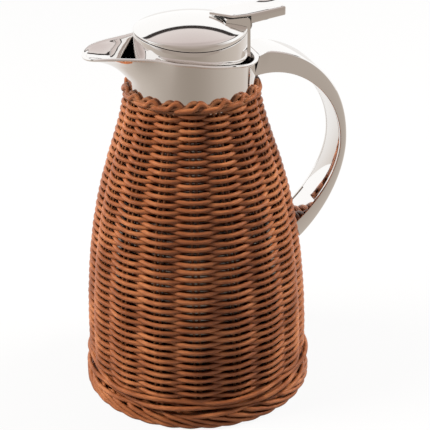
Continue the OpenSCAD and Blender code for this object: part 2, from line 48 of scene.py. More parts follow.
# ---------- finishes ----------
def linear(code):
    """An sRGB hex colour as linear red, green, blue and alpha."""
    parts = [int(code[i : i + 2], 16) / 255 for i in (1, 3, 5)]
    return [p / 12.92 if p <= 0.04045 else ((p + 0.055) / 1.055) ** 2.4 for p in parts] + [1.0]


def add(tree, kind, inputs=None, stops=(), **settings):
    """A node with its settings and colour stops; an input is a value or the socket that feeds it."""
    node = tree.nodes.new(kind)
    for i, (place, code) in enumerate(stops):
        marks = node.color_ramp.elements
        mark = marks[i] if i < len(marks) else marks.new(1.0)
        mark.position, mark.color = place, linear(code)
    for key, value in settings.items():
        setattr(node, key, value)
    for key, value in (inputs or {}).items():
        if isinstance(value, bpy.types.NodeSocket):
            tree.links.new(value, node.inputs[key])
        else:
            node.inputs[key].default_value = value
    return node


def finish(name, **sockets):
    """A material with values on its shader's sockets, named with _ for a space."""
    material = bpy.data.materials.new(name)
    material.use_nodes = True
    shader = material.node_tree.nodes["Principled BSDF"]
    for key, value in sockets.items():
        shader.inputs[key.replace("_", " ")].default_value = value
    return material, material.node_tree, shader


def metal(name, code, roughness):
    return finish(name, Base_Color=linear(code), Metallic=1.0, Roughness=roughness)[0]


def cane(name, dark, mid, light, roughness):
    """Round cane under a thin varnish: tone drifts over about 18 mm, fine grain runs along the strand."""
    material, tree, shader = finish(name, Roughness=roughness, Specular_IOR_Level=0.4)
    place = add(tree, "ShaderNodeTexCoord").outputs["Object"]
    tone = add(tree, "ShaderNodeTexNoise", {"Vector": place, "Scale": 55.0, "Detail": 2.0})
    # grain about 4 mm long round the jug and 0.4 mm wide
    along = add(tree, "ShaderNodeMapping", {"Vector": place, "Scale": (1.0, 1.0, 9.0)}).outputs["Vector"]
    grain = add(tree, "ShaderNodeTexNoise", {"Vector": along, "Scale": 260.0, "Detail": 3.0}).outputs["Fac"]
    mixed = {"Factor": 0.4, "A": tone.outputs["Fac"], "B": grain}
    both = add(tree, "ShaderNodeMix", mixed, data_type="FLOAT").outputs["Result"]
    stops = [(0.36, dark), (0.5, mid), (0.64, light)]
    colour = add(tree, "ShaderNodeValToRGB", {"Fac": both}, stops)
    tree.links.new(colour.outputs["Color"], shader.inputs["Base Color"])
    rough = add(tree, "ShaderNodeBump", {"Height": grain, "Strength": 0.12, "Distance": 0.0004})
    tree.links.new(rough.outputs["Normal"], shader.inputs["Normal"])
    return material


# Varnished round cane, the weaver and the borders: warm brown, satin, soft highlights
weaver_cane = cane("varnished weaver cane", "#6C3A1E", "#844B2B", "#A0633C", 0.36)
# The same cane in the stakes and the border's inner strands, with painted shade: darker than the weaver
# because they lie in the shade of the weave
stake_cane = cane("stake cane with painted shade", "#5C361E", "#74462A", "#8C5A38", 0.42)
# Chromium plate on steel: bright mirror with a slightly warm grey body
chrome = metal("polished chrome plate", "#F3F1EF", 0.045)
# Drawn stainless steel of the bottle: bright, a little soft from drawing
bottle_steel = metal("bright drawn stainless steel", "#C9C6C2", 0.22)
# Satin stainless steel of liner, screws and pin
satin_steel = metal("satin stainless steel", "#C4C2BF", 0.34)
# Moulded polypropylene of the stopper: nearly black, dull
black_pp = finish("moulded black polypropylene", Base_Color=linear("#1D1D1F"), Roughness=0.5)[0]
# Moulded silicone rubber of the seals: pale, dull
silicone = finish("pale silicone rubber", Base_Color=linear("#DAD7D2"), Roughness=0.6)[0]


def plywood():
    """Bare birch plywood: pale, with long grain about 3 mm apart."""
    material, tree, shader = finish("bare birch plywood", Roughness=0.7)
    place = add(tree, "ShaderNodeTexCoord").outputs["Object"]
    along = add(tree, "ShaderNodeMapping", {"Vector": place, "Scale": (30.0, 330.0, 330.0)}).outputs["Vector"]
    grain = add(tree, "ShaderNodeTexNoise", {"Vector": along, "Scale": 1.0, "Detail": 4.0}).outputs["Fac"]
    colour = add(tree, "ShaderNodeValToRGB", {"Fac": grain}, [(0.35, "#B08A5E"), (0.65, "#D2B083")])
    tree.links.new(colour.outputs["Color"], shader.inputs["Base Color"])
    return material


def felt():
    """Pressed wool felt: dark, with fibres drawn 1 mm coarse so that they show."""
    material, tree, shader = finish("pressed wool felt", Roughness=0.95, Sheen_Weight=0.4)
    place = add(tree, "ShaderNodeTexCoord").outputs["Object"]
    fibre = add(tree, "ShaderNodeTexNoise", {"Vector": place, "Scale": 900.0, "Detail": 3.0}).outputs["Fac"]
    colour = add(tree, "ShaderNodeValToRGB", {"Fac": fibre}, [(0.4, "#2B2F32"), (0.6, "#43494D")])
    tree.links.new(colour.outputs["Color"], shader.inputs["Base Color"])
    return material


FINISH = {
    "board": plywood(),
    "felt": felt(),
    "bottle_steel": bottle_steel,
    "liner_steel": satin_steel,
    "dark_plastic": black_pp,
    "silicone": silicone,
    "chrome": chrome,
    "cane": weaver_cane,
    "stake_cane": stake_cane,
}
for part in frame["record"]["subparts"]:
    nodes[part["node"]].data.materials.clear()
    nodes[part["node"]].data.materials.append(FINISH[part["material_slot"]])


# ---------- making pieces ----------
def keep(obj, body, slot, *stands_for):
    """Says which body a piece moves with and the nodes it stands for; the finish given as slot is not used.
    """
    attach(obj, body)
    if stands_for:
        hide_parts(*stands_for)
    return obj


def solid(name, bm, material, body, slot, *stands_for, sharp=35.0):
    """A bmesh in millimetres becomes a finished piece in metres."""
    bmesh.ops.remove_doubles(bm, verts=bm.verts, dist=1e-4)
    bmesh.ops.recalc_face_normals(bm, faces=bm.faces)
    bmesh.ops.scale(bm, vec=(MM, MM, MM), verts=bm.verts)
    mesh = bpy.data.meshes.new(name)
    bm.to_mesh(mesh)
    bm.free()
    mesh.materials.append(material)
    for face in mesh.polygons:
        face.use_smooth = True
    mesh.set_sharp_from_angle(angle=math.radians(sharp))
    obj = bpy.data.objects.new(name, mesh)
    bpy.context.scene.collection.objects.link(obj)
    return keep(obj, body, slot, *stands_for)


def strands(name, paths, radius, material, body, slot, *stands_for, sides=8, closed=False):
    """Round strands along paths in millimetres, as one mesh in metres."""
    data = bpy.data.curves.new(name, "CURVE")
    data.dimensions = "3D"
    data.twist_mode = "MINIMUM"
    data.bevel_depth = radius * MM
    data.bevel_resolution = (sides - 4) // 2
    data.use_fill_caps = True
    for path in paths:
        line = data.splines.new("POLY")
        line.points.add(len(path) - 1)
        for point, place in zip(line.points, path):
            point.co = (place[0] * MM, place[1] * MM, place[2] * MM, 1.0)
            point.radius = place[3] if len(place) > 3 else 1.0
        line.use_cyclic_u = closed
    curve = bpy.data.objects.new(name, data)
    bpy.context.scene.collection.objects.link(curve)
    bpy.context.view_layer.update()
    mesh = bpy.data.meshes.new_from_object(curve.evaluated_get(bpy.context.evaluated_depsgraph_get()))
    bpy.data.objects.remove(curve)
    mesh.name = name
    mesh.materials.clear()
    mesh.materials.append(material)
    for face in mesh.polygons:
        face.use_smooth = True
    obj = bpy.data.objects.new(name, mesh)
    bpy.context.scene.collection.objects.link(obj)
    keep(obj, body, slot, *stands_for)


def between(table, x):
    """Straight-line reading of a table of (x, value) pairs in rising x."""
    if x <= table[0][0]:
        return table[0][1]
    for (x0, v0), (x1, v1) in zip(table, table[1:]):
        if x <= x1:
            return v0 + (v1 - v0) * (x - x0) / (x1 - x0)
    return table[-1][1]


def smooth(x):
    """Eased step from 0 to 1."""
    x = min(1.0, max(0.0, x))
    return x * x * (3 - 2 * x)


def bez(p, t):
    """Point at t on the curve with the four guide points p."""
    return [
        (1 - t) ** 3 * a + 3 * (1 - t) ** 2 * t * b + 3 * (1 - t) * t * t * c + t**3 * d
        for a, b, c, d in zip(*p)
    ]


def loft(bm, rings, closed_loop=False):
    """Skin through rings of equal count: the first ring is extruded from one to the next."""
    verts = [bm.verts.new(p) for p in rings[0]]
    edges = [bm.edges.new((a, b)) for a, b in zip(verts, verts[1:] + verts[:1])]
    first = list(edges)
    for ring in rings[1:]:
        grown = bmesh.ops.extrude_edge_only(bm, edges=edges)["geom"]
        fresh = {g for g in grown if isinstance(g, bmesh.types.BMVert)}
        pairs = [(v, e.other_vert(v)) for v in verts for e in v.link_edges]
        link = {old: new for old, new in pairs if new in fresh}
        verts = [link[v] for v in verts]
        for v, p in zip(verts, ring):
            v.co = p
        edges = [bm.edges.get((a, b)) for a, b in zip(verts, verts[1:] + verts[:1])]
    if closed_loop:
        bmesh.ops.bridge_loops(bm, edges=first + edges)
    else:
        for loop in (first, edges):
            bmesh.ops.contextual_create(bm, geom=loop)
    return bm


# ---------- sleeve ----------
BELLY_R, BELLY_Z, TOP_R, TOP_Z = 73.5, 25.0, 45.4, 196.0
# (height, radius) of the sleeve's outside
SIDE = [(BELLY_Z, BELLY_R), (133, BELLY_R), (166, 51.6), (TOP_Z, TOP_R)]
OUTLINE = [bez(SIDE, i / 60) for i in range(61)]
OUTLINE += [(200, 44.6), (204, 43.8), (208, 43.2), (213, 42.9)]  # last rows and border, close to the collar
PAIRS = 17
STEP = TURN / PAIRS
FIRST = math.radians(180 + 95)  # a stake pair stands at this angle
STRAND_R = 1.41
SWING = 2.25  # how far the weaver goes in and out around the stakes


def sleeve_r(z):
    """Radius of the sleeve's outside at a height."""
    return between(OUTLINE, z)


def wobble(a, seed):
    """Small unevenness of hand work, -1 to 1."""
    return (math.sin(a * 1.37 + seed) + math.sin(a * 2.71 + 2 * seed) + math.sin(a * 0.53 + 3 * seed)) / 3


def polar(r, a, z):
    return (r * math.cos(a), r * math.sin(a), z)


def weaver():
    """One strand spiralling up, over one stake pair and under the next."""
    rows, per_step = 83, 8
    path = []
    for i in range(rows * PAIRS * per_step + 1):
        n = i / (PAIRS * per_step)
        a = -n * TURN
        z = 2.6 + 2.64 * n - 0.0024 * n * n  # the rows lie closer together towards the top
        wave = math.cos(PAIRS / 2 * (a - FIRST))
        wave = math.copysign(abs(wave) ** 0.85, wave)
        tucked = 1.3 * smooth((21 - z) / 3)  # the lowest rows lie behind the thick ones
        r = sleeve_r(z) - STRAND_R - SWING + SWING * wave + 0.12 * wobble(a * 3.1, 1) - tucked
        thick = 1 + 0.05 * wobble(a * 2.3, 4)
        path.append((*polar(r, a, z + 0.22 * wobble(a * 2.0, 2)), thick))
    strands("sleeve_weaver", [path], STRAND_R, weaver_cane, "pot", "cane", "weave_outer", "weave_inner")


def stakes():
    """Upright rods in pairs, from the foot to the top border."""
    paths = []
    for k in range(PAIRS):
        for side in (-1, 1):
            path = []
            for i in range(43):
                z = 4 + 203 * i / 42
                r = sleeve_r(z) - STRAND_R - SWING
                a = FIRST + k * STEP + side * 1.8 / r + 0.15 / r * wobble(z / 9, k + side)
                path.append(polar(r, a, z))
            paths.append(path)
    # the stake cane carries painted shade: it is darker than the weaver cane
    strands("stake_rods", paths, 1.0, stake_cane, "pot", "stake_cane", "sleeve_stakes", sides=6)


def wale():
    """Three thick rows that stand proud of the sleeve, swing in and out and cross each other."""
    paths = []
    middle, swing = 72.9, 1.5
    swings = 6  # in one round
    for row, z in enumerate((18.6, 14.0, 9.4)):
        path = []
        for i in range(PAIRS * 10):
            a = FIRST + i / 10 * STEP
            turn = (a - FIRST) * swings
            wave = math.cos(turn - row * TURN / 3 + 0.4 * math.sin(a))
            r = middle + swing * math.copysign(abs(wave) ** 0.7, wave)
            rise = 0.9 * math.sin(turn - row * 2.1) + 0.2 * wobble(a * 4, row)
            path.append((*polar(r, a, z + rise), 1.03))
        paths.append(path)
    strands("foot_wale", paths, 1.5, weaver_cane, "pot", "cane", "foot_weave", closed=True)


def foot_rope():
    """Rolled border: rods come out from behind the wale, slant down and run along the foot's edge."""
    paths = []
    for k in range(PAIRS):
        for twin in (0, 0.46):
            path = []
            for i in range(25):
                u = i / 24
                a = FIRST + (k + twin + 1.7 * u) * STEP
                r = 70.4 + 4.1 * smooth(u / 0.2) - 1.6 * smooth((u - 0.78) / 0.22)
                z = 9.4 - 7.85 * smooth(u / 0.8) + 0.15 * wobble(k + twin, 6)
                path.append(polar(r, a, z))
            paths.append(path)
    # two rods inside the rope, which close the view to the floor
    paths += [[polar(71.8, TURN * i / 120, z) for i in range(121)] for z in (1.8, 4.6)]
    strands("foot_rope_border", paths, 1.45, weaver_cane, "pot", "cane", "foot_border")


def top_loops():
    """Each stake comes out under the one before, runs past the next, arches up and dives behind it."""
    paths = []
    # (how far round in stake steps, radius, height)
    track = [(0, 41.2, 206.6), (0.14, 42.3, 207.2), (0.35, 42.8, 207.4), (0.7, 42.8, 207.7),
             (0.79, 42.4, 208.8), (0.88, 41.8, 210.3), (0.97, 41.3, 211.0), (1.07, 41.1, 211.0),
             (1.17, 41.1, 210.1), (1.26, 41.1, 208.5), (1.36, 41.1, 206.8), (1.5, 41.0, 205.9)]
    radii = [(u, r) for u, r, _ in track]
    heights = [(u, z) for u, _, z in track]
    span = track[-1][0]
    for k in range(PAIRS):
        path = []
        for i in range(41):
            u = span * i / 40
            lift = 0.3 * wobble(k * 1.7, 2)
            path.append([FIRST + (k - 1.66 + u) * STEP, between(radii, u), between(heights, u) + lift])
        for _ in range(2):  # round off the corners of the track
            threes = zip(path, path[1:], path[2:])
            inner = [[(p[j] + 2 * q[j] + t[j]) / 4 for j in range(3)] for p, q, t in threes]
            path = [path[0]] + inner + [path[-1]]
        paths.append([polar(r, a, z) for a, r, z in path])
    strands("top_border_loops", paths, 1.5, weaver_cane, "pot", "cane", "top_border")


def inner_loops():
    """Arches and two rods between the border and the collar, dark from the shade painted into the stake cane.
    """
    paths = []
    for k in range(PAIRS):
        path = []
        for i in range(13):
            u = i / 12
            z = 206.2 + 5.3 * math.sin(math.pi * u) ** 0.7
            path.append(polar(40.9, FIRST + (k - 1.29 + 0.76 * u) * STEP, z))
        paths.append(path)
    paths += [[polar(41.5, TURN * i / 120, z) for i in range(121)] for z in (206.0, 208.3)]
    strands("top_border_core", paths, 1.3, stake_cane, "pot", "stake_cane", "border_core", sides=6)


weaver()
stakes()
wale()
foot_rope()
top_loops()
inner_loops()

# ---------- collar and spout ----------
COLLAR_R, COLLAR_T = 40.0, 1.2
TIP_X, TIP_R = 50.4, 15.9  # centre and radius of the spout's round tip
SIDE_BOW = 3.3  # how far the spout's sides are drawn in
ROOT_Z = 214.0  # where the spout starts to swell from the collar
# height of the rim at x
RIM = [(-70, 233.7), (-64, 235.9), (-60, 237.0), (-54, 237.5), (-48, 237.6), (-36, 237.4),
       (-24, 237.2), (-10.6, 236.3), (0, 234.5), (16, 231.8), (30, 228.2), (44, 225.6)]
# share of the spout's reach at a share of its height
SWELL = [(0, 0), (0.12, 0.019), (0.25, 0.077), (0.38, 0.158), (0.5, 0.242),
         (0.62, 0.339), (0.75, 0.48), (0.88, 0.687), (1, 0.996)]


def rim_plan(a):
    """Distance of the rim's wall from the axis at angle a: round, drawn out to the spout."""
    lean = math.acos((COLLAR_R - TIP_R) / TIP_X)
    touch = math.atan2(TIP_R * math.sin(lean), TIP_X + TIP_R * math.cos(lean))
    off = abs(a % TURN - math.pi)  # angle from the spout
    if off > lean:
        return COLLAR_R
    if off < touch:
        return TIP_X * math.cos(off) + math.sqrt(TIP_R**2 - (TIP_X * math.sin(off)) ** 2)
    bow = SIDE_BOW * math.sin(math.pi * (off - touch) / (lean - touch)) ** 1.3
    return COLLAR_R / math.cos(lean - off) - bow


def collar():
    """Collar, spout and rolled lip as one skin."""
    # angles close together around the spout's tip
    offs = [1.4 * i for i in range(19)] + [27 + 3 * i for i in range(11)]
    offs += [60 + 120 / 32 * i for i in range(33)]
    angles = [math.radians(180 + o) for o in offs] + [math.radians(180 - o) for o in reversed(offs[1:-1])]
    plan = [rim_plan(a) for a in angles]
    flat = [Vector((p * math.cos(a), p * math.sin(a), 0)) for p, a in zip(plan, angles)]
    normal = []
    for i, p in enumerate(flat):
        along = flat[(i + 1) % len(flat)] - flat[i - 1]
        n = Vector((along.y, -along.x, 0)).normalized()
        normal.append(n if n.dot(p) > 0 else -n)
    top = [between(RIM, p.x) for p in flat]

    def wall(share, inward, raised=0.0):
        """Ring at a share of the height between root and rim."""
        out = between(SWELL, share)
        ring = []
        for a, p, n, z in zip(angles, flat, normal, top):
            r = COLLAR_R + (p.length - COLLAR_R) * out
            lift = raised * share * (p.length - COLLAR_R) / (TIP_X + TIP_R - COLLAR_R)
            height = ROOT_Z + (z - 1.5 - ROOT_Z) * share + lift
            ring.append(Vector(polar(r, a, height)) - n * inward)
        return ring

    def level(z, r):
        return [Vector(polar(r, a, z)) for a in angles]

    plain = (196.1, 200, 206, 212)
    rings = [level(z, COLLAR_R) for z in plain]
    shares = [i / 22 for i in range(23)]
    rings += [wall(s, 0) for s in shares]
    # flared, rolled lip: distance out and height against the rim
    lip = [(0.6, -1.5), (1.3, -1.45), (1.9, -1.2), (2.2, -0.75), (2.2, -0.2), (1.8, 0.2),
           (1.0, 0.35), (0.2, 0.2), (-0.5, -0.2), (-0.95, -0.7)]
    for out, up in lip:
        rings.append([Vector((p.x, p.y, z + up)) + n * out for p, n, z in zip(flat, normal, top)])
    rings += [wall(s, COLLAR_T, 0.8) for s in reversed(shares)]
    rings += [level(z, COLLAR_R - COLLAR_T) for z in reversed(plain)]
    bm = loft(bmesh.new(), rings, closed_loop=True)
    solid("collar_with_spout", bm, chrome, "pot", "chrome", "collar")


collar()

# ---------- handle ----------
HANDLE_W, LINING_T = 27.0, 0.7
# heights of its top and underside at the collar, place of its low end and of its outermost point
HANDLE_TOP, HANDLE_UNDER, LOW_Z, LOW_X, FAR_X, FAR_Z = 229.94, 213.94, 96.5, 69.0, 100.6, 163.0
# guide points of its outer and inner face, above and below the outermost point
OUT_UP = [(38, HANDLE_TOP), (73, HANDLE_TOP), (FAR_X, FAR_Z + 42), (FAR_X, FAR_Z)]
OUT_LOW = [(FAR_X, FAR_Z), (FAR_X, FAR_Z - 23), (LOW_X + 19, LOW_Z + 17.5), (LOW_X, LOW_Z)]
IN_UP = [(38, HANDLE_UNDER), (66, HANDLE_UNDER + 6.5), (96.2, FAR_Z + 33), (96.2, FAR_Z - 1)]
IN_LOW = [(96.2, FAR_Z - 1), (96.2, FAR_Z - 20), (LOW_X + 15, LOW_Z + 25.5), (LOW_X - 3, LOW_Z + 11)]


def handle_pair(t):
    """Inner and outer point of the handle's side view at t from collar to sleeve."""
    outer = bez(OUT_UP, 2 * t) if t < 0.5 else bez(OUT_LOW, 2 * t - 1)
    inner = bez(IN_UP, 2 * t) if t < 0.5 else bez(IN_LOW, 2 * t - 1)
    return Vector((inner[0], 0, inner[1])), Vector((outer[0], 0, outer[1]))


def round_rect(half, low, high, r_low, r_high, steps=4):
    """Outline (across, depth) of a band with rounded corners."""
    points = []
    for cx, cy, r, start in (
        (half - r_low, low + r_low, r_low, -90),
        (half - r_high, high - r_high, r_high, 0),
        (-half + r_high, high - r_high, r_high, 90),
        (-half + r_low, low + r_low, r_low, 180),
    ):
        for i in range(steps + 1):
            a = math.radians(start + 90 * i / steps)
            points.append((cx + r * math.cos(a), cy + r * math.sin(a)))
    return points


def handle():
    """Flat band from the collar out and down to the sleeve."""
    rings = []
    for i in range(81):
        inner, outer = handle_pair(i / 80)
        depth = (outer - inner).length
        way = (outer - inner) / depth
        shape = round_rect(HANDLE_W / 2, 0, depth, 0.7, 1.3)
        # recess for the lining strip on the inner face
        shape = [(-11.4, 0.0), (-11.2, LINING_T), (11.2, LINING_T), (11.4, 0.0)] + shape
        rings.append([inner + way * d + Vector((0, y, 0)) for y, d in shape])
    under_lip = 223.0
    for v in rings[0]:  # the first end lies on the collar, under and behind its lip
        v.x = math.sqrt((39.5 if v.z < under_lip else 42.4) ** 2 - v.y**2)
    for v in rings[1]:
        v.x = max(v.x, math.sqrt((39.9 if v.z < under_lip else 42.8) ** 2 - v.y**2))
    for i, ring in enumerate(rings[:5]):  # the top comes down to the lip
        for v in ring:
            v.z = min(v.z, 226.2 + 0.9 * i)
    solid("handle_band", loft(bmesh.new(), rings), chrome, "pot", "chrome", "handle_shell", sharp=40)


def lining():
    """Cover strip that closes the inside of the handle."""
    rings = []
    for i in range(61):
        t = 0.1 + 0.76 * i / 60
        inner, outer = handle_pair(t)
        way = (outer - inner).normalized()
        shape = round_rect(10.9, -0.05, LINING_T, 0.3, 0.2, steps=2)
        rings.append([inner + way * d + Vector((0, y, 0)) for y, d in shape])
    bm = loft(bmesh.new(), rings)
    solid("handle_lining_strip", bm, chrome, "pot", "chrome", "handle_cover", sharp=40)


handle()
lining()

# ---------- lid ----------
LID_R, LID_T, LID_Z = 35.4, 1.2, 241.5  # radius, wall, lowest point of the split
PIN_X, PIN_Z = 33.0, 246.1  # hinge pin
NOTCH_X, EAR_IN, EAR_OUT = 19.0, 8.5, 12.55  # front of the ears, their inner and outer face
TOWER_X = 34.7  # back of the hinge ears
SPLIT_R = 170.0  # radius of the saddle between skirt and dome
BORE_R = 1.65  # around the hinge pin


def split(x):
    """How much the split between skirt and dome rises towards both ends."""
    return x * x / (2 * SPLIT_R)


def cut(obj, box):
    """Takes a box (low corner, high corner, mm) out of a piece."""
    tool = bmesh.new()
    bmesh.ops.create_cube(tool, size=1)
    for v in tool.verts:
        v.co = Vector([(lo if c < 0 else hi) * MM for c, lo, hi in zip(v.co, *box)])
    subtract(obj, tool)


def subtract(obj, tool):
    """Takes a bmesh in metres out of a piece."""
    mesh = bpy.data.meshes.new("tool")
    tool.to_mesh(mesh)
    tool.free()
    other = bpy.data.objects.new("tool", mesh)
    bpy.context.scene.collection.objects.link(other)
    modifier = obj.modifiers.new("cut", "BOOLEAN")
    modifier.operation = "DIFFERENCE"
    modifier.solver = "MANIFOLD"
    modifier.object = other
    bpy.context.view_layer.update()
    made = bpy.data.meshes.new_from_object(obj.evaluated_get(bpy.context.evaluated_depsgraph_get()))
    obj.modifiers.clear()
    obj.data = made
    bpy.data.objects.remove(other)
    for face in made.polygons:
        face.use_smooth = True
    made.set_sharp_from_angle(angle=math.radians(30))


def turned(profile, steps=128):
    """Solid of revolution from a closed (radius, height) profile."""
    bm = bmesh.new()
    verts = [bm.verts.new((r, 0, z)) for r, z in profile]
    edges = [bm.edges.new(pair) for pair in zip(verts, verts[1:] + verts[:1])]
    about = {"axis": (0, 0, 1), "cent": (0, 0, 0), "angle": TURN}
    bmesh.ops.spin(bm, geom=verts + edges, steps=steps, use_merge=True, **about)
    bmesh.ops.remove_doubles(bm, verts=bm.verts, dist=1e-4)
    return bm


def ear(bm, y0, y1):
    """Hinge ear: flat block whose upper back corner is rounded."""
    low, corner = 226.3, 2.4
    outline = [(NOTCH_X, low), (NOTCH_X, 251.9), (NOTCH_X + 0.6, 252.4)]
    for t in (0, 0.39, 0.79, 1.18, 1.57):
        outline.append((TOWER_X - corner + corner * math.sin(t), 250.0 + corner * math.cos(t)))
    outline.append((TOWER_X, low))
    loft(bm, [[Vector((x, y0 + (y1 - y0) * i / 4, z)) for x, z in outline] for i in range(5)])


def lid_ring():
    """Skirt with its deck and the two hinge ears."""
    low, edge = 214.3, 0.5
    bm = turned([
        (LID_R - LID_T, low), (LID_R - 0.3, low), (LID_R, low + 0.3), (LID_R, 222), (LID_R, 230),
        (LID_R, LID_Z - edge), (LID_R - 0.15, LID_Z - 0.12), (LID_R - edge, LID_Z),
        (LID_R - LID_T, LID_Z),
    ])
    for v in bm.verts:
        if v.co.z > LID_Z - 1:
            v.co.z += split(v.co.x)
    well_r, under, top = 16.5, 220.1, 221.3
    deck = turned([(well_r, under), (LID_R - LID_T, under), (LID_R - LID_T, top), (well_r, top)], 96)
    mesh = bpy.data.meshes.new("deck")
    deck.to_mesh(mesh)
    deck.free()
    bm.from_mesh(mesh)
    ear(bm, EAR_IN, EAR_OUT)
    ear(bm, -EAR_OUT, -EAR_IN)
    obj = solid("lid_skirt_with_hinge_ears", bm, chrome, "lid", "chrome", "lid_skirt", sharp=40)
    cut(obj, ((10, -EAR_IN, LID_Z - 0.3), (60, EAR_IN, 260)))  # room for the knuckle
    cut(obj, ((-50, -8, 221.4), (-20, 8, 228.3)))  # window towards the spout


def dome():
    """Flat dome; its shoulder is round at the sides and nearly sharp towards spout and hinge."""
    apex, edge_z = 253.1, 246.3
    rise = apex - edge_z
    curve = (LID_R**2 + rise**2) / (2 * rise)
    centre = apex - curve
    angles = [TURN * i / 144 for i in range(144)]

    def level(points):
        """Ring from a function of the angle that gives (radius, height)."""
        return [polar(radius, a, z) for a, (radius, z) in zip(angles, map(points, angles))]

    def sphere(a, share, inward=0.0):
        radius = share * edge(a)[0]
        return radius, centre + math.sqrt((curve - inward) ** 2 - radius**2)

    def edge(a):
        """Where the sphere ends and the shoulder begins: radius, tilt, shoulder radius."""
        shoulder = 0.5 + 3.6 * math.sin(a) ** 2
        tilt = math.asin((LID_R - shoulder) / (curve - shoulder))
        return curve * math.sin(tilt), tilt, shoulder

    def bend(a, share):
        _, tilt, shoulder = edge(a)
        t = tilt + (math.pi / 2 - tilt) * share
        z = centre + (curve - shoulder) * math.cos(tilt) + shoulder * math.cos(t)
        return LID_R - shoulder + shoulder * math.sin(t), z

    def foot(a, radius, up):
        return radius, LID_Z + 0.3 + up + split(LID_R * math.cos(a))

    rings = [level(lambda a, t=i / 26: sphere(a, t)) for i in range(1, 27)]
    rings += [level(lambda a, t=i / 8: bend(a, t)) for i in range(1, 9)]
    brim = ((LID_R, 0.3), (LID_R - 0.12, 0.08), (LID_R - 0.4, 0), (LID_R - LID_T, 0))
    rings += [level(lambda a, q=q: foot(a, *q)) for q in brim]
    rings += [level(lambda a, t=i / 14: sphere(a, 0.985 * t, LID_T)) for i in range(14, 0, -1)]
    obj = solid("lid_dome", loft(bmesh.new(), rings), chrome, "cap", "chrome", "dome_cap", sharp=50)
    cut(obj, ((NOTCH_X - 0.7, -EAR_OUT - 0.35, 230), (60, EAR_OUT + 0.35, 270)))  # notch for the ears


def knuckle():
    """Block and arm that carry the dome on the hinge pin."""
    half = 8.2
    low, high = (NOTCH_X - 1.9, -half, 242.9), (PIN_X, half, 251.4)
    bm = bmesh.new()
    for v in bmesh.ops.create_cube(bm, size=1)["verts"]:
        v.co = Vector([lo if c < 0 else hi for c, lo, hi in zip(v.co, low, high)])
    arm = turned([(BORE_R, -half), (4.3, -half), (4.3, half), (BORE_R, half)], 48)
    bmesh.ops.rotate(arm, verts=arm.verts, cent=(0, 0, 0), matrix=Matrix.Rotation(math.pi / 2, 3, "X"))
    bmesh.ops.translate(arm, verts=arm.verts, vec=(PIN_X, 0, PIN_Z))
    # room for the pin and for the spring in the middle
    bore = bmesh.new()
    lying = Matrix.Translation((PIN_X * MM, 0, PIN_Z * MM)) @ Matrix.Rotation(math.pi / 2, 4, "X")
    sizes = {"radius1": BORE_R * MM, "radius2": BORE_R * MM, "depth": 30 * MM}
    bmesh.ops.create_cone(bore, cap_ends=True, segments=48, matrix=lying, **sizes)
    slot = ((PIN_X - 5, -3.05, 238), (PIN_X + 6, 3.05, PIN_Z + 2.9))
    carrier = solid("lid_hinge_knuckle", bm, satin_steel, "cap", "chrome")
    cut(carrier, slot)
    subtract(carrier, bore)
    cut(solid("lid_hinge_arm", arm, satin_steel, "cap", "chrome"), slot)


def lever():
    """Thumb lever: pointed plate over the hinge, thickening into a thumb rest with a shallow dimple."""
    tip, end, half, plate_z, top_z, rise = 12.0, 58.0, 12.5, 252.9, 254.3, 2.75
    flange, flange_z, end_t = TOWER_X + 0.6, 248.3, 5.6

    def top(x):
        return top_z + rise * max(0.0, (x - PIN_X) / (end - PIN_X)) ** 1.15

    def under(x):
        if x < flange:
            return plate_z
        return flange_z + (top(end) - end_t - flange_z) * (x - flange) / (end - flange)

    bm = bmesh.new()
    rings = []
    stations = [tip + 0.3, 14, 17, 20, 22.5, 24.5, 26, 29, PIN_X, flange - 0.01, flange]
    stations += [37, 40, 44, 48, 52, 55.5, 57.2, 57.8, end]
    for x in stations:
        w = min(half, (x - tip) + 0.15 if x < tip + half else half)
        w = min(w, half - 0.9 * max(0.0, (x - end + 0.9) / 0.9) ** 2)
        drop = 0.5 * max(0.0, (x - end + 0.8) / 0.8) ** 2
        hi, lo, c = top(x) - drop, under(x) + drop, min(0.7, w * 0.4)
        shape = [(-w + 0.25, lo), (w - 0.25, lo), (w, lo + 0.3), (w, hi - c)]
        shape += [(w - 0.3 * c, hi - 0.3 * c), (w - c, hi)]
        shape += [((w - c) * s / 3, hi) for s in (2, 1, 0, -1, -2)]
        shape += [(-w + c, hi), (-w + 0.3 * c, hi - 0.3 * c), (-w, hi - c), (-w, lo + 0.3)]
        rings.append([Vector((x, y, z)) for y, z in shape])
    loft(bm, rings)
    obj = solid("lever_plate", bm, chrome, "cap", "chrome", "thumb_lever", sharp=40)
    dimple_x, dimple_r, dimple_deep = 46.5, 36.0, 0.95
    ball = bmesh.new()
    bmesh.ops.create_uvsphere(ball, u_segments=96, v_segments=64, radius=dimple_r * MM)
    centre = Vector((dimple_x, 0, top(dimple_x) + dimple_r - dimple_deep))
    bmesh.ops.translate(ball, verts=ball.verts, vec=centre * MM)
    subtract(obj, ball)


lid_ring()
dome()
knuckle()
lever()


# ---------- stage ----------
CAMERA_AROUND = math.radians(-16.0)
# a fixed direction in the room: the side that the object is looked at from
CAMERA_SIDE = (math.sin(CAMERA_AROUND), -math.cos(CAMERA_AROUND), 0.0)


def by_ray(tree, lit, mirrored, seen):
    """What light meets, what the chrome mirrors and what the camera sees, each its own shader."""
    path = add(tree, "ShaderNodeLightPath")
    glossy, direct = path.outputs["Is Glossy Ray"], path.outputs["Is Camera Ray"]
    first = add(tree, "ShaderNodeMixShader", {"Fac": glossy, 1: lit.outputs[0], 2: mirrored.outputs[0]})
    last = add(tree, "ShaderNodeMixShader", {"Fac": direct, 1: first.outputs[0], 2: seen.outputs[0]})
    return last.outputs[0]


